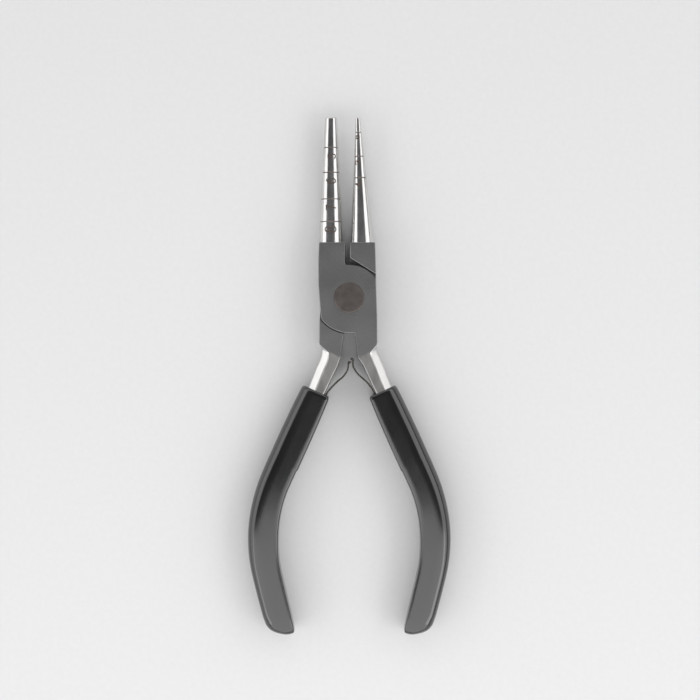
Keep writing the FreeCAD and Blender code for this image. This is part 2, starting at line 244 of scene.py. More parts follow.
def rounded_outline(runs, steps=6):
    """Closed outline from runs of points. Each entry is a run and the radius of the corner at its end."""
    count = len(runs)
    pieces = [list(run) for run, radius in runs]
    corners = []
    for i, (run, radius) in enumerate(runs):
        following = runs[(i + 1) % count][0]
        before = (run[-1] - run[-2]).normalized()
        after = (following[1] - following[0]).normalized()
        cut = radius * math.tan(before.angle(after) / 2)
        corners.append((run[-1].copy(), cut))
    for i, (corner, cut) in enumerate(corners):
        pieces[i] = trimmed(pieces[i], cut)
        nxt = (i + 1) % count
        pieces[nxt] = trimmed(pieces[nxt][::-1], cut)[::-1]
    outline = []
    for i, (corner, cut) in enumerate(corners):
        outline.extend(pieces[i])
        if cut > SAME_POINT:
            start = pieces[i][-1]
            end = pieces[(i + 1) % count][0]
            for step in range(1, steps):
                share = step / steps
                outline.append(start.lerp(corner, share).lerp(corner.lerp(end, share), share))
    return without_doubles(outline)


def without_doubles(outline):
    return [p for p, q in zip(outline, outline[1:] + outline[:1]) if (p - q).length > SAME_POINT]


def signed_area(outline):
    return sum(a.x * b.y - b.x * a.y for a, b in zip(outline, outline[1:] + outline[:1])) / 2


def offset_outline(outline, inset):
    """The outline moved in by the inset, the same number of points."""
    moved = []
    count = len(outline)
    for i in range(count):
        before = (outline[i] - outline[i - 1]).normalized()
        after = (outline[(i + 1) % count] - outline[i]).normalized()
        normal_a = Vector((-before.y, before.x))
        normal_b = Vector((-after.y, after.x))
        moved.append(outline[i] + (normal_a + normal_b) / (1 + normal_a.dot(normal_b)) * inset)
    return moved


def smooth_at(stations, at):
    """Values at a place between stations, by a cubic that doesn't overshoot them."""
    places = [s[0] for s in stations]
    if at <= places[0]:
        return stations[0][1:]
    if at >= places[-1]:
        return stations[-1][1:]
    i = max(k for k in range(len(places) - 1) if places[k] <= at)
    width = places[i + 1] - places[i]
    t = (at - places[i]) / width
    values = []
    for column in range(1, len(stations[0])):
        slope_in = gentle_slope(stations, i, column)
        slope_out = gentle_slope(stations, i + 1, column)
        a, b = stations[i][column], stations[i + 1][column]
        values.append(
            a * (1 + 2 * t) * (1 - t) ** 2 + b * t * t * (3 - 2 * t)
            + width * (slope_in * t * (1 - t) ** 2 - slope_out * t * t * (1 - t))
        )
    return tuple(values)


def gentle_slope(stations, i, column):
    """Slope at a station: the harmonic mean of its neighbours' slopes, and flat at a peak or an end."""
    if i == 0 or i == len(stations) - 1:
        j = min(i, len(stations) - 2)
        return (stations[j + 1][column] - stations[j][column]) / (stations[j + 1][0] - stations[j][0])
    before = (stations[i][column] - stations[i - 1][column]) / (stations[i][0] - stations[i - 1][0])
    after = (stations[i + 1][column] - stations[i][column]) / (stations[i + 1][0] - stations[i][0])
    if before * after <= 0:
        return 0.0
    return 2 * before * after / (before + after)


def spaced(start, end, step):
    """Even places from start to end, no further apart than the step."""
    count = max(1, math.ceil((end - start) / step))
    return [start + (end - start) * i / count for i in range(count + 1)]


# ---------------- meshes

MERGE_DISTANCE = 0.004            # between points that booleans leave beside each other
SLIVER_FACES = 12                 # an island with fewer faces is a stray
SHARP = 32.0                      # degrees between faces that keep an edge
SPRING_SHARP = 50.0


def new_object(name, vertices, faces, material):
    mesh = bpy.data.meshes.new(name)
    mesh.from_pydata(vertices, [], faces)
    mesh.materials.append(material)
    shape = bmesh.new()
    shape.from_mesh(mesh)
    bmesh.ops.recalc_face_normals(shape, faces=shape.faces)
    shape.to_mesh(mesh)
    shape.free()
    made = bpy.data.objects.new(name, mesh)
    bpy.context.scene.collection.objects.link(made)
    return made


def skin(name, rings, material, looped=False):
    """Closed mesh over rings of points. The ends are capped, or joined to each other if it is looped."""
    count = len(rings[0])
    vertices = [point for ring in rings for point in ring]
    faces = []
    last = len(rings) if looped else len(rings) - 1
    for lower in range(last):
        upper = (lower + 1) % len(rings)
        for i in range(count):
            j = (i + 1) % count
            faces.append((lower * count + i, lower * count + j, upper * count + j, upper * count + i))
    if not looped:
        faces.append(tuple(reversed(range(count))))
        faces.append(tuple(range(len(vertices) - count, len(vertices))))
    return new_object(name, vertices, faces, material)


def prism(name, outline, levels, material):
    """Upright solid over an outline. Each level is a height and how far the outline is moved in there."""
    if signed_area(outline) < 0:
        outline = outline[::-1]
    rings = []
    for height, inset in levels:
        rings.append([Vector((p.x, p.y, height)) for p in offset_outline(outline, inset)])
    return skin(name, rings, material)


def rounded_rim(radius):
    """Quarter circle from a wall to a level face: (depth below the face, inset from the wall)."""
    rim = []
    for step in range(RIM_STEPS + 1):
        turn = math.radians(90 * step / RIM_STEPS)
        rim.append((radius * (1 - math.sin(turn)), radius * (1 - math.cos(turn))))
    return rim


def rounded_levels(bottom, top, radius):
    """Levels of a prism with both rims rounded."""
    rim = rounded_rim(radius)
    lower = [(bottom + depth, inset) for depth, inset in reversed(rim)]
    return lower + [(top - depth, inset) for depth, inset in rim]


def turned(name, profile, axis_point, axis, across, material, segments=96):
    """Solid of revolution. The profile is places along the axis and radii, and its ends are capped."""
    third = axis.cross(across)
    rings = []
    for along, radius in profile:
        ring = []
        for i in range(segments):
            turn = 2 * math.pi * i / segments
            outward = across * math.cos(turn) + third * math.sin(turn)
            ring.append(axis_point + axis * along + outward * radius)
        rings.append(ring)
    return skin(name, rings, material)


def combine(target, tool, operation, crossing=False):
    """Exact boolean in place. The tool is used up and its faces keep its material; it may cross itself."""
    modifier = target.modifiers.new("combine", "BOOLEAN")
    modifier.operation = operation
    modifier.object = tool
    modifier.solver = "EXACT"
    modifier.material_mode = "TRANSFER"
    modifier.use_self = crossing
    before = volume_of(target)
    bake_modifiers(target)
    if volume_of(target) < 0.5 * before and operation != "INTERSECT":
        raise ValueError("the boolean with " + tool.name + " has lost most of " + target.name)
    bpy.data.objects.remove(tool)


def volume_of(piece):
    shape = bmesh.new()
    shape.from_mesh(piece.data)
    volume = shape.calc_volume()
    shape.free()
    return volume


def bake_modifiers(target):
    graph = bpy.context.evaluated_depsgraph_get()
    mesh = bpy.data.meshes.new_from_object(target.evaluated_get(graph))
    target.modifiers.clear()
    target.data = mesh


def face_islands(shape):
    """Groups of faces that hang together by edges with a face on either side."""
    seen = set()
    islands = []
    for first in shape.faces:
        if first in seen:
            continue
        seen.add(first)
        island = [first]
        for face in island:
            for edge in face.edges:
                if len(edge.link_faces) != 2:
                    continue
                for other in edge.link_faces:
                    if other not in seen:
                        seen.add(other)
                        island.append(other)
        islands.append(island)
    return islands


def mend(shape):
    """Delete the stray slivers that booleans leave, and close the pinholes that they leave."""
    for island in face_islands(shape):
        if len(island) < SLIVER_FACES:
            bmesh.ops.delete(shape, geom=island, context="FACES_KEEP_BOUNDARY")
    loose = [edge for edge in shape.edges if not edge.link_faces]
    bmesh.ops.delete(shape, geom=loose, context="EDGES")
    rims = [edge for edge in shape.edges if len(edge.link_faces) == 1]
    bmesh.ops.holes_fill(shape, edges=rims, sides=SLIVER_FACES)


def finish_piece(piece, hand, sharp_degrees=SHARP):
    """Mirror, scale to metres and shade a finished mesh."""
    mesh = piece.data
    shape = bmesh.new()
    shape.from_mesh(mesh)
    bmesh.ops.remove_doubles(shape, verts=shape.verts, dist=MERGE_DISTANCE)
    mend(shape)
    bmesh.ops.scale(shape, verts=shape.verts, vec=(hand * MM, MM, MM))
    bmesh.ops.recalc_face_normals(shape, faces=shape.faces)
    shape.to_mesh(mesh)
    shape.free()
    mesh.shade_smooth()
    mesh.set_sharp_from_angle(angle=math.radians(sharp_degrees))
    modifier = piece.modifiers.new("normals", "WEIGHTED_NORMAL")
    modifier.keep_sharp = True
    bake_modifiers(piece)
    return piece


# ---------------- materials

def new_material(name, color, metallic, roughness):
    material = bpy.data.materials.new(name)
    material.use_nodes = True
    shader = material.node_tree.nodes["Principled BSDF"]
    shader.inputs["Base Color"].default_value = (*color, 1.0)
    shader.inputs["Metallic"].default_value = metallic
    shader.inputs["Roughness"].default_value = roughness
    return material, shader


def add_node(material, kind, **settings):
    node = material.node_tree.nodes.new(kind)
    for key, value in settings.items():
        if key in node.inputs:
            node.inputs[key].default_value = value
        else:
            setattr(node, key, value)
    return node


def object_noise(material, stretch, detail=4.0, roughness=0.6):
    """Noise in the object's own frame. The stretch is features a millimetre along X, Y and Z."""
    links = material.node_tree.links
    place = add_node(material, "ShaderNodeTexCoord")
    mapping = add_node(material, "ShaderNodeMapping", Scale=[s / MM for s in stretch])
    noise = add_node(material, "ShaderNodeTexNoise", Scale=1.0, Detail=detail, Roughness=roughness)
    links.new(place.outputs["Object"], mapping.inputs["Vector"])
    links.new(mapping.outputs["Vector"], noise.inputs["Vector"])
    return noise.outputs["Fac"]


NOISE_LOW = 0.3                   # noise seldom leaves this range
NOISE_HIGH = 0.7


def roughen(material, shader, value, low, high):
    """Roughness that follows the noise from low to high."""
    node = add_node(material, "ShaderNodeMapRange")
    node.inputs["From Min"].default_value = NOISE_LOW
    node.inputs["From Max"].default_value = NOISE_HIGH
    node.inputs["To Min"].default_value = low
    node.inputs["To Max"].default_value = high
    material.node_tree.links.new(value, node.inputs["Value"])
    material.node_tree.links.new(node.outputs["Result"], shader.inputs["Roughness"])


def tint(material, shader, value, dark, light):
    """Base colour that follows the noise from dark to light."""
    node = add_node(material, "ShaderNodeValToRGB")
    node.color_ramp.elements[0].position = NOISE_LOW
    node.color_ramp.elements[1].position = NOISE_HIGH
    node.color_ramp.elements[0].color = (*dark, 1.0)
    node.color_ramp.elements[1].color = (*light, 1.0)
    material.node_tree.links.new(value, node.inputs["Fac"])
    material.node_tree.links.new(node.outputs["Color"], shader.inputs["Base Color"])


def bump(material, shader, value, strength, distance):
    node = add_node(material, "ShaderNodeBump", Strength=strength, Distance=distance * MM)
    material.node_tree.links.new(value, node.inputs["Height"])
    material.node_tree.links.new(node.outputs["Normal"], shader.inputs["Normal"])


def satin_steel():
    """Ground joint faces: a fine even grain and faint cloudy patches."""
    material, shader = new_material("steel_satin", (0.24, 0.236, 0.234), 1.0, 0.35)
    grain = object_noise(material, (9.0, 1.2, 3.0))
    clouds = object_noise(material, (0.12, 0.12, 0.12), detail=3.0)
    roughen(material, shader, clouds, 0.33, 0.39)
    tint(material, shader, grain, (0.2, 0.197, 0.195), (0.28, 0.276, 0.274))
    bump(material, shader, grain, 0.25, 0.01)
    return material


def tang_steel(name, color, roughness, dark, light):
    """Steel brushed lengthwise, smoother than the joint's."""
    material, shader = new_material(name, color, 1.0, roughness)
    streaks = object_noise(material, (1.6, 0.3, 1.6))
    clouds = object_noise(material, (0.35, 0.12, 0.35), detail=3.0)
    roughen(material, shader, clouds, 0.28, 0.34)
    tint(material, shader, clouds, dark, light)
    bump(material, shader, streaks, 0.2, 0.02)
    return material


def brushed_steel():
    """The faces of the tangs."""
    dark = (0.23, 0.225, 0.22)
    light = (0.31, 0.303, 0.296)
    return tang_steel("steel_brushed", (0.27, 0.264, 0.258), 0.31, dark, light)


def painted_highlight_steel():
    """The outer sides and bevels of the tangs: the tang steel made lighter than on their faces, a painted
    highlight.
    """
    return tang_steel("steel_painted_highlight", (0.66, 0.65, 0.64), 0.3, (0.62, 0.61, 0.6), (0.7, 0.69, 0.68))


def painted_shade_steel():
    """Walls deep in the joint: painted shade, a dark steel that stands in for the shade in the gaps."""
    material, shader = new_material("steel_painted_shade", (0.08, 0.075, 0.07), 1.0, 0.45)
    shade_mottle = object_noise(material, (0.8, 0.8, 0.8))
    tint(material, shader, shade_mottle, (0.05, 0.046, 0.042), (0.12, 0.11, 0.1))
    bump(material, shader, shade_mottle, 0.15, 0.02)
    return material


def polished_steel():
    """Jaws: buffed, with long faint streaks."""
    material, shader = new_material("steel_polished", (0.7, 0.69, 0.68), 1.0, 0.16)
    streaks = object_noise(material, (2.2, 0.25, 2.2))
    clouds = object_noise(material, (0.5, 0.14, 0.5), detail=2.0)
    roughen(material, shader, clouds, 0.13, 0.24)
    tint(material, shader, clouds, (0.65, 0.64, 0.63), (0.75, 0.74, 0.73))
    bump(material, shader, streaks, 0.2, 0.02)
    return material


def rivet_steel():
    """Rivet ends: a little warmer, with the marks of the tool that turned them."""
    material, shader = new_material("steel_rivet", (0.185, 0.163, 0.15), 1.0, 0.34)
    place = add_node(material, "ShaderNodeTexCoord")
    rings = add_node(material, "ShaderNodeTexWave", wave_type="RINGS", rings_direction="Z")
    rings.inputs["Scale"].default_value = 0.5 / MM
    rings.inputs["Distortion"].default_value = 0.8
    rings.inputs["Detail"].default_value = 2.0
    material.node_tree.links.new(place.outputs["Object"], rings.inputs["Vector"])
    clouds = object_noise(material, (0.3, 0.3, 0.3), detail=3.0)
    tint(material, shader, clouds, (0.16, 0.14, 0.13), (0.21, 0.186, 0.172))
    roughen(material, shader, clouds, 0.31, 0.37)
    bump(material, shader, rings.outputs["Fac"], 0.15, 0.01)
    return material


def spring_steel():
    """Rolled strip, a little darker, with fine lines along it."""
    material, shader = new_material("steel_spring", (0.12, 0.11, 0.1), 1.0, 0.3)
    lines = object_noise(material, (0.6, 0.6, 5.0))
    clouds = object_noise(material, (0.6, 0.6, 0.6), detail=2.0)
    tint(material, shader, clouds, (0.08, 0.074, 0.068), (0.16, 0.15, 0.14))
    roughen(material, shader, lines, 0.2, 0.3)
    bump(material, shader, lines, 0.2, 0.01)
    return material


def engraving():
    """Dark fill in the cut digits and ring grooves."""
    material, shader = new_material("engraving", (0.08, 0.055, 0.042), 0.0, 0.7)
    grit = object_noise(material, (6.0, 6.0, 6.0))
    tint(material, shader, grit, (0.05, 0.034, 0.026), (0.12, 0.085, 0.066))
    bump(material, shader, grit, 0.3, 0.02)
    return material


def grip_vinyl():
    """Dipped black vinyl: glossy, with a faint orange peel and a little handling haze."""
    material, shader = new_material("grip_vinyl", (0.004, 0.004, 0.0045), 0.0, 0.15)
    shader.inputs["IOR"].default_value = 1.8
    peel = object_noise(material, (0.9, 0.9, 0.9), detail=2.0, roughness=0.45)
    haze = object_noise(material, (0.1, 0.05, 0.1), detail=3.0)
    roughen(material, shader, haze, 0.13, 0.17)
    tint(material, shader, haze, (0.004, 0.004, 0.0044), (0.007, 0.007, 0.0074))
    bump(material, shader, peel, 0.12, 0.03)
    return material


SATIN = satin_steel()
BRUSHED = brushed_steel()
PAINTED_HIGHLIGHT = painted_highlight_steel()
PAINTED_SHADE = painted_shade_steel()
POLISHED = polished_steel()
RIVET = rivet_steel()
SPRING = spring_steel()
ENGRAVING = engraving()
VINYL = grip_vinyl()


# ---------------- handle line

def handle_point(along, outward):
    """Point beside the right handle line, and the line's outward normal there."""
    splay = math.radians(SPLAY_ANGLE)
    full_turn = math.radians(SPLAY_ANGLE + RETURN_ANGLE)
    turn = min(max(along - BEND_START, 0.0) / BEND_RADIUS, full_turn)
    before = min(along, BEND_START)
    after = max(along - BEND_START - BEND_RADIUS * full_turn, 0.0)
    first_down = Vector((math.sin(splay), -math.cos(splay), 0))
    first_out = Vector((math.cos(splay), math.sin(splay), 0))
    down = Vector((math.sin(splay - turn), -math.cos(splay - turn), 0))
    out = Vector((math.cos(splay - turn), math.sin(splay - turn), 0))
    bend_centre = Vector((*MOUTH_POINT, MID_Z)) + first_down * before - first_out * BEND_RADIUS
    return bend_centre + out * (BEND_RADIUS + outward) + down * after, out


BEVEL_TILT = 36.0                 # of a bevelled corner's slope, from level
BEVEL_ROUNDING = 0.36             # of its ends, as a share of its size


def corner_curve(size, bevelled, steps):
    """Corner from its side (size, 0) up to its top (0, height): a quarter circle, or a rounded bevel."""
    if not bevelled:
        return [tuple(polar(size, 90 * step / steps)) for step in range(steps + 1)]
    radius = size * BEVEL_ROUNDING
    turn = 90 - BEVEL_TILT
    slope = polar((size - radius) / math.sin(math.radians(turn)), 90 + turn)
    lower = Vector((size - radius, 0))
    half = steps // 2
    points = [lower + polar(radius, turn * step / half) for step in range(half + 1)]
    points += [lower + slope + polar(radius, turn + BEVEL_TILT * step / half) for step in range(half + 1)]
    return [tuple(point) for point in points]


def rounded_ring(outer, inner, thickness, outer_corner, inner_corner, steps, flat_steps, bevelled=False):
    """Ring of points across a bar: a rectangle with its own round or bevelled corners at either side.

    It starts at the foot of the outer side's upper corner, and every flat side is divided by flat_steps.
    """
    middle = (outer + inner) / 2
    across = (outer - inner) / 2
    half_width = across.length
    across.normalize()
    up = Vector((0, 0, 1))
    bends = []
    for side, level in ((1, 1), (-1, 1), (-1, -1), (1, -1)):
        size = outer_corner if side > 0 else inner_corner
        curve = corner_curve(size, bevelled and side > 0, steps)
        height = curve[-1][1]
        start = middle + across * (side * (half_width - size)) + up * (level * (thickness / 2 - height))
        bend = [start + across * (side * x) + up * (level * z) for x, z in curve]
        bends.append(bend if side == level else bend[::-1])
    ring = []
    for bend, following in zip(bends, bends[1:] + bends[:1]):
        ring.extend(bend)
        for step in range(1, flat_steps):
            ring.append(bend[-1].lerp(following[0], step / flat_steps))
    return ring


# ---------------- halves

def joint_outline(half):
    """The half's joint from above: jaw block, plate and shoulder."""
    outer_top = Vector((half["jaw_outer"], BLOCK_TOP_Y))
    chamfer_top = Vector((half["jaw_inner"] - BLOCK_CHAMFER, BLOCK_TOP_Y))
    chamfer_foot = Vector((half["jaw_inner"], BLOCK_TOP_Y - BLOCK_CHAMFER))
    slot_root = on_circle(JAW_EDGE_RADIUS, half["jaw_inner"], 1)
    plate_corner = on_circle(JAW_EDGE_RADIUS, PLATE_CORNER_X, 1)
    waist = Vector((half["waist"], WAIST_Y))
    shoulder_top = Vector((half["shoulder_top"], SHOULDER_TOP_Y))
    shoulder_end = Vector((half["shoulder_end"], SHOULDER_END_Y))
    inner_end = Vector(INNER_END)
    crotch = on_circle(HANDLE_EDGE_RADIUS, CROTCH_X, -1)
    jaw_foot = on_circle(HANDLE_EDGE_RADIUS, half["jaw_foot"], -1)
    runs = [    # and the radius of the corner at each one's end
        ([outer_top, chamfer_top], 0.1),
        ([chamfer_top, chamfer_foot], 0.1),
        ([chamfer_foot, slot_root], 1.0),
        (arc_points(slot_root, plate_corner, ARC_STEPS), 0.3),
        ([plate_corner, waist], 0.5),
        ([waist, shoulder_top], 0.5),
        ([shoulder_top, shoulder_end], 0.0),
        ([shoulder_end, inner_end], 0.0),
        ([inner_end, crotch], CROTCH_RADIUS),
        (arc_points(crotch, jaw_foot, ARC_STEPS), JAW_FOOT_RADIUS),
        (arc_through(jaw_foot, Vector(half["jaw_middle"]), outer_top, ARC_STEPS), 0.25),
    ]
    return rounded_outline(runs)


def upright(face):
    return abs(face.normal.z) < 0.1


def pocket_outline():
    """Room for the other half's plate: bounded by the jaw block's flat end and the shoulder's round one."""
    radius = HANDLE_EDGE_RADIUS + SIDE_GAP + WORN_GAP
    distance = JAW_EDGE_RADIUS + SIDE_GAP + WORN_GAP
    normal = polar(1.0, BLOCK_FACE_ANGLE)
    left = Vector((-radius, (distance + radius * normal.x) / normal.y))
    right = Vector((radius, (distance - radius * normal.x) / normal.y))
    lower = [polar(radius, degrees) for degrees in range(180, 361, 4)]
    return [left] + lower + [right]


def pocket(half):
    """Cutter for the pocket, flared where it opens so that the rims it leaves are rounded."""
    bottom, top = half["pocket"]
    rim = rounded_rim(RIM)
    if top > THICKNESS:
        levels = [(bottom, 0.0)] + [(THICKNESS - depth, -flare) for depth, flare in rim] + [(top, -RIM)]
    else:
        levels = [(bottom, -RIM)] + [(depth, -flare) for depth, flare in reversed(rim)] + [(top, 0.0)]
    cutter = prism("pocket", pocket_outline(), levels, SATIN)
    # The pocket's deep walls get the dark steel: painted shade in the gap between the halves.
    cutter.data.materials.append(PAINTED_SHADE)
    for face in cutter.data.polygons:
        if upright(face) and 2 * RIM < face.center.z < THICKNESS - 2 * RIM:
            face.material_index = 1
    return cutter


# along the handle line, extra width on the outer side, thickness, outer and inner corner radius
TANG_STATIONS = [
    (-10.2, 0.45, 9.72, 2.6, 0.4),
    (-6.5, 0.38, 9.36, 2.65, 0.5),
    (-2.0, 0.12, 9.0, 2.6, 0.6),
    (2.0, 0.0, 8.8, 2.4, 0.9),
    (9.0, 0.0, 7.6, 1.8, 1.2),
    (BEND_START, 0.0, 6.8, 1.6, 1.4),
    (TANG_END, -0.5, 5.6, 1.4, 1.2),
]
NECK_INNER = (2.9, -18.95)        # inner side of the tang just below the shoulder
TANG_TOP = 14.2                   # from the start of its loft to the grip's mouth
SHOULDER_LINE = 0.5               # from the start of its loft, where the joint's outline ends
TANG_SHOWS_TO = 22.0              # from the start of its loft, where finer rings are no longer needed
TANG_FINE_STEP = 0.8
TANG_COARSE_STEP = 2.4
CORNER_STEPS = 10
FLAT_STEPS = 3


def tang_stations(half):
    """Places down the tang: outer point, inner point, thickness and corner radii, by distance down it."""
    end = half["shoulder_end"]
    inner_x, inner_y = INNER_END
    stations = [
        (0.0, end - 0.04, SHOULDER_END_Y + SHOULDER_LINE, inner_x + 0.06, inner_y + SHOULDER_LINE,
         10.3, 0.25, 0.2),
        (SHOULDER_LINE, end, SHOULDER_END_Y, inner_x, inner_y, 10.1, 0.3, 0.25),
        (2.1, *half["neck_outer"], *NECK_INNER, 9.94, 2.3, 0.3),
    ]
    for along, extra, *section in TANG_STATIONS:
        outer = handle_point(along, half["tang_offset"] + TANG_SIDE + extra)[0]
        inner = handle_point(along, half["tang_offset"] - TANG_SIDE)[0]
        stations.append((along + TANG_TOP, outer.x, outer.y, inner.x, inner.y, *section))
    return stations


def tang(half, material, highlighted=False):
    """The handle's steel. It starts a little thicker than the joint, so that the joint's faces cut it."""
    stations = tang_stations(half)
    places = [0.0]
    places += spaced(SHOULDER_LINE, TANG_SHOWS_TO, TANG_FINE_STEP)
    places += spaced(TANG_SHOWS_TO, BEND_START + TANG_TOP, TANG_COARSE_STEP)[1:]
    rings = []
    for place in places:
        outer_x, outer_y, inner_x, inner_y, *section = smooth_at(stations, place)
        outer = Vector((outer_x, outer_y, MID_Z))
        inner = Vector((inner_x, inner_y, MID_Z))
        rings.append(rounded_ring(outer, inner, *section, CORNER_STEPS, FLAT_STEPS, bevelled=True))
    for along in spaced(BEND_START, TANG_END, TANG_COARSE_STEP)[1:]:
        extra, *section = smooth_at(TANG_STATIONS, along)
        outer = handle_point(along, half["tang_offset"] + TANG_SIDE + extra)[0]
        inner = handle_point(along, half["tang_offset"] - TANG_SIDE - extra)[0]
        rings.append(rounded_ring(outer, inner, *section, CORNER_STEPS, FLAT_STEPS, bevelled=True))
    made = skin("tang", rings, material)
    if highlighted:
        paint_highlight_on_outer_side(made, len(rings[0]))
    return made


def paint_highlight_on_outer_side(made, ring_size):
    """The outer side of a tang and its two bevels get the lighter copy of its steel, a painted highlight.
    """
    bevel_faces = CORNER_STEPS + 1
    made.data.materials.append(PAINTED_HIGHLIGHT)
    for index, face in enumerate(made.data.polygons):
        place = index % ring_size
        if place < bevel_faces or place >= ring_size - bevel_faces - FLAT_STEPS:
            face.material_index = 1


def slab():
    """Block whose top and bottom are the joint's faces."""
    size = 200.0                  # past the whole tool
    outline = [Vector((-size, -size)), Vector((size, -size)), Vector((size, size)), Vector((-size, size))]
    return prism("slab", outline, [(0.0, 0.0), (THICKNESS, 0.0)], SATIN)


def cone_radius(half, y):
    """Radius of the jaw at a height above the pivot."""
    stations = half["cone"]
    for (low_y, low_diameter), (high_y, high_diameter) in zip(stations, stations[1:]):
        if y <= high_y:
            return (low_diameter + (y - low_y) / (high_y - low_y) * (high_diameter - low_diameter)) / 2
    return stations[-1][1] / 2


TIP_CENTRE_RADIUS = 0.05
GROOVE_DEPTH = 0.14
GROOVE_HALF_WIDTH = 0.22
# place across a groove and how deep it is there, as shares of its half width and its depth
GROOVE_PROFILE = [(-1.0, 0.0), (-0.8, 0.02), (-0.4, 0.9), (0.0, 1.0), (0.4, 0.9), (0.8, 0.02), (1.0, 0.0)]


def cone(half):
    """Round jaw with ring grooves and a rounded tip, along +Y before it leans."""
    tip_y, tip_diameter = half["cone"][-1]
    tip_radius = half["tip_radius"]
    heights = [y for y, diameter in half["cone"][:-1]]
    profile = [(y, cone_radius(half, y)) for y in heights if y not in half["grooves"]]
    for groove_y in half["grooves"]:
        for share, depth in GROOVE_PROFILE:
            y = groove_y + share * GROOVE_HALF_WIDTH
            profile.append((y, cone_radius(half, y) - depth * GROOVE_DEPTH))
    steps = 8
    for step in range(steps + 1):
        turn = math.radians(88 * step / steps)
        y = tip_y - tip_radius * (1 - math.sin(turn))
        profile.append((y, tip_diameter / 2 - tip_radius * (1 - math.cos(turn))))
    profile.append((tip_y, TIP_CENTRE_RADIUS))
    profile.sort()
    seam = Vector((0.999, 0, 0.04)).normalized()    # off level, so no edge lies in the joint's plane
    made = turned("cone", profile, Vector((0, 0, 0)), Vector((0, 1, 0)), seam, POLISHED)
    made.data.materials.append(ENGRAVING)
    for face in made.data.polygons:
        for groove_y in half["grooves"]:
            if abs(face.center.y - groove_y) < 0.5 * GROOVE_HALF_WIDTH:
                face.material_index = 1
    return made


def curve_points(points, spacing=0.12):
    """Smooth curve through the points, sampled evenly enough for a tube."""
    ends = [points[0] * 2 - points[1]] + list(points) + [points[-1] * 2 - points[-2]]
    if (points[0] - points[-1]).length < SAME_POINT:
        ends[0], ends[-1] = points[-2], points[1]
    sampled = []
    for a, b, c, d in zip(ends, ends[1:], ends[2:], ends[3:]):
        steps = max(2, math.ceil((c - b).length / spacing))
        bend = a * 2 - b * 5 + c * 4 - d
        twist = b * 3 - a - c * 3 + d
        for step in range(steps):
            t = step / steps
            sampled.append((b * 2 + (c - a) * t + bend * t * t + twist * t ** 3) / 2)
    sampled.append(points[-1])
    return sampled


DOME = 0.8                        # height of a tube's domed end, as a share of its radius


def tube(name, path, radius, material, closed=False, segments=10):
    """Round bar along a path that stays roughly level, with domed ends."""
    rings = []
    path = list(path)
    if closed:
        path.pop()
    count = len(path)
    for i, point in enumerate(path):
        before = path[i - 1] if closed or i else point
        after = path[(i + 1) % count] if closed or i < count - 1 else point
        along = (after - before).normalized()
        side = along.cross(Vector((0, 0, 1))).normalized()
        up = side.cross(along)
        ring = []
        for k in range(segments):
            turn = 2 * math.pi * k / segments
            ring.append(point + (side * math.cos(turn) + up * math.sin(turn)) * radius)
        if not closed and i == 0:
            rings.append([point.lerp(p, 0.5) - along * radius * DOME for p in ring])
        rings.append(ring)
        if not closed and i == count - 1:
            rings.append([point.lerp(p, 0.5) + along * radius * DOME for p in ring])
    return skin(name, rings, material, looped=closed)


def cut_digits(body, half):
    """Engrave the loop sizes on the cone. The tops of the digits point to -X in the finished front view."""
    for digit, centre_y, aside, width, height in half["digits"]:
        for stroke in DIGITS[digit]:
            flat = []
            for u, v in stroke:
                x = aside - half["hand"] * (v - 0.5) * height
                y = centre_y + (u - 0.5) * width
                flat.append(Vector((x, y, 0)))
            path = []
            for point in curve_points(flat):
                radius = cone_radius(half, point.y) + STROKE_RADIUS - STROKE_DEPTH
                reach = min(abs(point.x), radius * 0.98)
                path.append(Vector((point.x, point.y, math.sqrt(radius ** 2 - reach ** 2))))
            closed = (path[0] - path[-1]).length < SAME_POINT
            stroke_bar = tube("stroke", path, STROKE_RADIUS, ENGRAVING, closed)
            combine(body, stroke_bar, "DIFFERENCE", crossing=True)


def jaw(half):
    """Cone with its digits, leaning and in place."""
    made = cone(half)
    cut_digits(made, half)
    lean = Matrix.Rotation(math.radians(-half["cone_lean"]), 4, "Z")
    base = Vector((0, BLOCK_TOP_Y, 0))
    made.data.transform(
        Matrix.Translation(Vector((half["cone_base"], 0, MID_Z)))
        @ Matrix.Translation(base) @ lean @ Matrix.Translation(-base)
    )
    return made


# a point of the pivot's axis, its direction and where turned shapes about it start
PIVOT_AXIS = (Vector((0, 0, 0)), Vector((0, 0, 1)), Vector((1, 0, 0)))


def rivet_hole():
    """Cutter for the rivet's hole, with its mouths opened by a small chamfer."""
    mouth = RIVET_RADIUS + HOLE_CLEARANCE
    wide = mouth + HOLE_CHAMFER
    pin = RIVET_PIN_RADIUS + HOLE_CLEARANCE
    lower = [(-1.0, wide), (0.0, wide), (HOLE_CHAMFER, mouth), (RIVET_HEAD_DEPTH, pin)]
    upper = [(THICKNESS - height, radius) for height, radius in reversed(lower)]
    return turned("hole", lower + upper, *PIVOT_AXIS, SATIN)


def half_body(half):
    """One forged half: joint, jaw and tang as a single mesh."""
    name = half["name"] + "_half_body"
    # The tang's outer side and bevels get a painted highlight.
    handle = tang(half, BRUSHED, highlighted=True)
    combine(handle, slab(), "INTERSECT")
    body = prism(name, joint_outline(half), rounded_levels(0.0, THICKNESS, RIM), SATIN)
    # Painted shade on the plate's round edges, where the seams fall in shade.
    paint_shade_on_turning_edges(body)
    combine(body, pocket(half), "DIFFERENCE")
    combine(body, handle, "UNION")
    combine(body, jaw(half), "UNION")
    combine(body, rivet_hole(), "DIFFERENCE")
    return finish_piece(body, half["hand"])


def paint_shade_on_turning_edges(body):
    """The plate's round edges, which turn past the other half's blocks, get the dark steel: painted shade
    in the seams.
    """
    body.data.materials.append(PAINTED_SHADE)
    for face in body.data.polygons:
        radius = face.center.xy.length
        level = abs(face.normal.z) >= 0.99
        jaw_side = face.center.y > 0 and abs(radius - JAW_EDGE_RADIUS) < RIM
        handle_side = face.center.y < 0 and abs(radius - HANDLE_EDGE_RADIUS) < RIM / 2
        if (jaw_side and not level) or (handle_side and upright(face)):
            face.material_index = 1


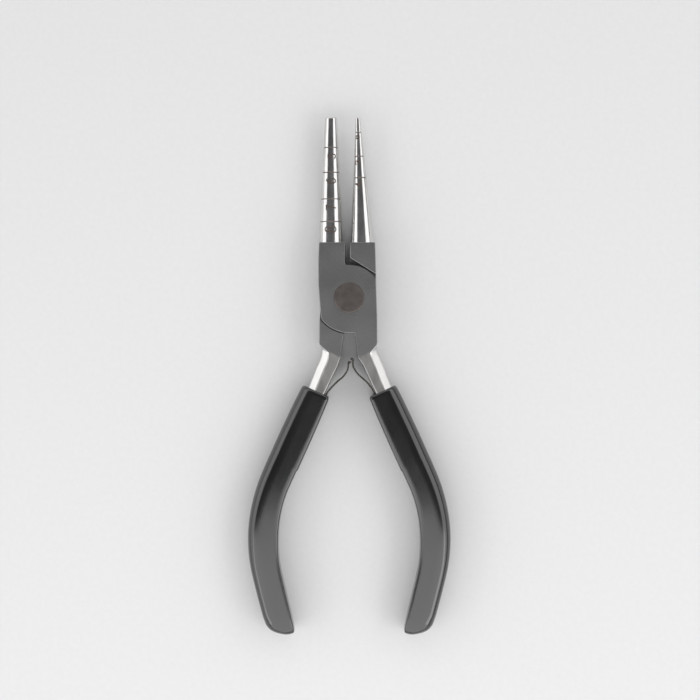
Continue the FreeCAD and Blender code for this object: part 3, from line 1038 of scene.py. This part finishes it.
def joint_rivet():
    """Pin with a head at either end that narrows to it."""
    lower = [(depth, RIVET_RADIUS - inset) for depth, inset in reversed(rounded_rim(RIVET_ROUNDING))]
    lower.append((RIVET_HEAD_DEPTH, RIVET_PIN_RADIUS))
    upper = [(THICKNESS - height, radius) for height, radius in reversed(lower)]
    return finish_piece(turned("joint_rivet_body", lower + upper, *PIVOT_AXIS, RIVET), 1)


# ---------------- springs

FOOT_STEP = 1.5
LEAF_STEP = 0.25
EYE_RUN_IN = 2.6                  # the stretch in which the strip leaves its line to wrap around the eye
EYE_TURN = 310.0
EYE_STEPS = 20


def strip_offset(half):
    """Middle of the spring's foot, outward from the handle line."""
    return half["tang_offset"] - TANG_SIDE - STRIP_SEAT - STRIP_THICKNESS / 2


def leaf_path(half):
    """Middle line of the spring in its own view, from the end of its foot to the leaf's end."""
    foot = [handle_point(along, strip_offset(half))[0] for along in spaced(1.0, FOOT_END, FOOT_STEP)]
    foot.reverse()
    place = handle_point(half["leaf_root"], strip_offset(half) - half["leaf_lift"])[0]
    path = foot + [place.copy()]
    heading = half["leaf_heading"]
    for length, turn in half["leaf_stretches"]:
        radius = length / math.radians(turn)
        centre = place - polar(radius, heading).to_3d()
        for share in spaced(0.0, 1.0, LEAF_STEP / length)[1:]:
            path.append(centre + polar(radius, heading + turn * share).to_3d())
        place = path[-1].copy()
        heading += turn
    return path


def leaf_stations(half):
    """Down the strip: its middle, its side and its thickness. It moves aside near its end, for the eye."""
    path = leaf_path(half)
    total = sum((b - a).length for a, b in zip(path, path[1:]))
    thinning = STRIP_TIP_THICKNESS - STRIP_THICKNESS
    done = 0.0
    stations = []
    for i, point in enumerate(path):
        if i:
            done += (point - path[i - 1]).length
        along = (path[min(i + 1, len(path) - 1)] - path[max(i - 1, 0)]).normalized()
        side = Vector((along.y, -along.x, 0))
        share = max(0.0, 1 - (total - done) / EYE_RUN_IN)
        aside = EYE_RADIUS * share * share * (3 - 2 * share)
        stations.append((point + side * aside, side, STRIP_THICKNESS + thinning * (done / total) ** 4))
    return stations


def eye_stations(end, side):
    """The strip's rolled end, on from the end of its leaf."""
    centre = end - side * EYE_RADIUS
    stations = []
    for step in range(1, EYE_STEPS + 1):
        turn = math.radians(EYE_TURN * step / EYE_STEPS)
        turned_side = Matrix.Rotation(turn, 3, "Z") @ side
        stations.append((centre + turned_side * EYE_RADIUS, turned_side, STRIP_TIP_THICKNESS))
    return stations


def spring(half):
    """Foot, leaf and rolled end as one strip."""
    stations = leaf_stations(half)
    stations += eye_stations(*stations[-1][:2])
    rings = []
    for point, side, thickness in stations:
        rings.append(rounded_ring(
            point + side * thickness / 2, point - side * thickness / 2, STRIP_WIDTH, STRIP_EDGE, STRIP_EDGE,
            steps=3, flat_steps=2,
        ))
    strip = skin(half["side"] + "_spring", rings, SPRING)
    return finish_piece(strip, half["hand"], sharp_degrees=SPRING_SHARP)


# ---------------- grips

# along the handle line, outer side, inner side, thickness, roundness
GRIP_STATIONS = [
    (0.0, 4.0, 4.1, 8.9, 2.3),
    (0.15, 4.3, 4.35, 9.3, 2.35),
    (0.6, 4.6, 4.6, 9.76, 2.4),
    (1.4, 4.7, 4.7, 9.92, 2.4),
    (9.0, 4.95, 4.95, 9.94, 2.4),
    (18.0, 5.05, 5.05, 9.97, 2.4),
    (24.6, 5.0, 5.05, 9.99, 2.4),
    (25.6, 5.0, 4.85, 9.99, 2.4),
    (32.0, 4.88, 4.83, 10.0, 2.45),
    (38.0, 4.8, 4.8, 9.96, 2.6),
    (49.0, 4.85, 4.7, 9.7, 2.9),
    (62.0, 4.9, 4.2, 9.36, 3.0),
    (72.0, 4.7, 4.15, 9.1, 3.0),
    (75.5, 4.4, 4.15, 8.95, 2.4),
    (77.4, 3.6, 4.15, 8.4, 2.35),
    (78.8, 2.1, 4.05, 7.4, 2.3),
    (79.8, 0.2, 3.85, 5.9, 2.3),
    (80.25, -1.0, 3.4, 4.2, 2.4),
    (80.4, -1.8, 2.8, 2.4, 2.2),
]
INNER_SQUARENESS = 4.0            # how many times squarer the inner side is than the outer one
# places of its rings, finest at the mouth, the notch and the end
GRIP_MOUTH = spaced(0.0, 1.4, 0.1)
GRIP_UPPER = spaced(1.4, 24.0, 1.2)
GRIP_NOTCH = spaced(24.0, 26.0, 0.2)
GRIP_LOWER = spaced(26.0, 74.0, 1.0)
GRIP_END = spaced(74.0, 80.4, 0.16)
FOOT_ROOM_START = -2.0


def grip_ring(along, outer, inner, thickness, power, count=96):
    """Ring of the sleeve: an oval squared by the power, and with tighter corners on its inner side."""
    centre, out = handle_point(along, (outer - inner) / 2)
    half_width = (outer + inner) / 2
    ring = []
    for i in range(count):
        turn = 2 * math.pi * i / count
        squared = power if math.cos(turn) > 0 else INNER_SQUARENESS * power
        x = math.copysign(abs(math.cos(turn)) ** (2 / squared), math.cos(turn)) * half_width
        z = math.copysign(abs(math.sin(turn)) ** (2 / squared), math.sin(turn)) * thickness / 2
        ring.append(centre + out * x + Vector((0, 0, z)))
    return ring


def foot_room(half):
    """Cutter for the spring's foot, from the middle of the tang to the foot's inner face."""
    rings = []
    for along in spaced(FOOT_ROOM_START, FOOT_END, 1.0):
        outer = handle_point(along, half["tang_offset"])[0]
        inner = handle_point(along, strip_offset(half) - STRIP_THICKNESS / 2)[0]
        rings.append(rounded_ring(outer, inner, STRIP_WIDTH, 0.1, 0.1, steps=2, flat_steps=2))
    return skin("foot_room", rings, VINYL)


def grip(half):
    """Sleeve with a closed end, cut out for the tang and the spring's foot."""
    places = GRIP_MOUTH + GRIP_UPPER[1:] + GRIP_NOTCH[1:] + GRIP_LOWER[1:] + GRIP_END[1:]
    rings = [grip_ring(place, *smooth_at(GRIP_STATIONS, place)) for place in places]
    body = skin(half["side"] + "_grip_sleeve", rings, VINYL)
    combine(body, tang(half, VINYL), "DIFFERENCE")
    combine(body, foot_room(half), "DIFFERENCE")
    return finish_piece(body, half["hand"])


# ---------------- assembly


def place_pieces():
    """Make each piece, hang the halves, grips and joint rivet from the bodies they ride on, and hide the
    CAD nodes that the pieces stand for.
    """
    for half in (FRONT, BACK):
        side = half["side"]
        body = half["name"] + "_side"
        made = half_body(half)
        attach(made, body)
        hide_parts(half["name"] + "_half")

        sleeve = grip(half)
        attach(sleeve, body)
        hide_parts(side + "_grip")

        strip = spring(half)
        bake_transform(strip)
        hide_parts(side + "_spring_leaf", side + "_spring_foot")

        small_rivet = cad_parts[side + "_spring_rivet"]
        small_rivet.data.materials.clear()
        small_rivet.data.materials.append(RIVET)

    made = joint_rivet()
    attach(made, "front_side")
    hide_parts("joint_rivet")


# ---------------- stage, light and camera

VIEW_CENTRE = Vector((0.00022, -0.01625, 0.005))
CAMERA_HEIGHT = 0.7
FIELD = 0.21875                   # what the camera takes in, across the picture
SENSOR = 36.0


def floor():
    material, shader = new_material("floor_card", (0.64, 0.64, 0.64), 0.0, 0.8)
    paper = object_noise(material, (0.6, 0.6, 0.6), detail=6.0)
    tint(material, shader, paper, (0.63, 0.63, 0.63), (0.65, 0.65, 0.65))
    size = 3.0
    level = -0.1 * MM
    corners = [(-size, -size, level), (size, -size, level), (size, size, level), (-size, size, level)]
    made = new_object("floor", corners, [(0, 1, 2, 3)], material)


def panel(name, place, target, size, radiance):
    light = bpy.data.lights.new(name, "AREA")
    light.shape = "RECTANGLE"
    light.size, light.size_y = size
    light.energy = radiance * math.pi * light.size * light.size_y
    made = bpy.data.objects.new(name, light)
    made.location = place
    made.rotation_euler = (Vector(target) - Vector(place)).to_track_quat("-Z", "Y").to_euler()
    bpy.context.scene.collection.objects.link(made)


def sloping_panel(name, high_edge, low_edge, width, radiance):
    """Panel between two edges that run along X, turned to the stage."""
    slope = low_edge - high_edge
    facing = Vector((math.copysign(1, -low_edge.y), 0, 0)).cross(slope)
    middle = (high_edge + low_edge) / 2
    panel(name, middle, middle + facing, (width, slope.length), radiance)


def lights():
    """Tall panels low at the sides, a sloping one in front, a dimmer one behind and dim surroundings."""
    radiance = 1.45
    width = 2.0
    distance = 1.3
    for name, side, angle, height in (("left_panel", -1, 69.0, 0.9), ("right_panel", 1, 58.5, 0.94)):
        across, up = polar(distance, 90 - angle)
        panel(name, (side * across, 0.0, up), (0, 0, 0), (width, height), radiance)
    sloping_panel("front_panel", Vector((0, -0.15, 1.0)), Vector((0, -1.5, 0.15)), 2.7, 1.75)
    sloping_panel("back_panel", Vector((0, 0.75, 1.15)), Vector((0, 1.5, 0.2)), 2.4, 1.0)
    world = bpy.data.worlds.new("studio")
    world.use_nodes = True
    world.node_tree.nodes["Background"].inputs["Color"].default_value = (0.11, 0.11, 0.115, 1.0)
    bpy.context.scene.world = world


def camera():
    data = bpy.data.cameras.new("camera")
    data.sensor_width = SENSOR
    data.lens = SENSOR * CAMERA_HEIGHT / FIELD
    made = bpy.data.objects.new("camera", data)
    made.location = VIEW_CENTRE + Vector((0, 0, CAMERA_HEIGHT))
    bpy.context.scene.collection.objects.link(made)
    bpy.context.scene.camera = made


place_pieces()
floor()
lights()
camera()
bpy.context.scene.view_settings.view_transform = "Standard"
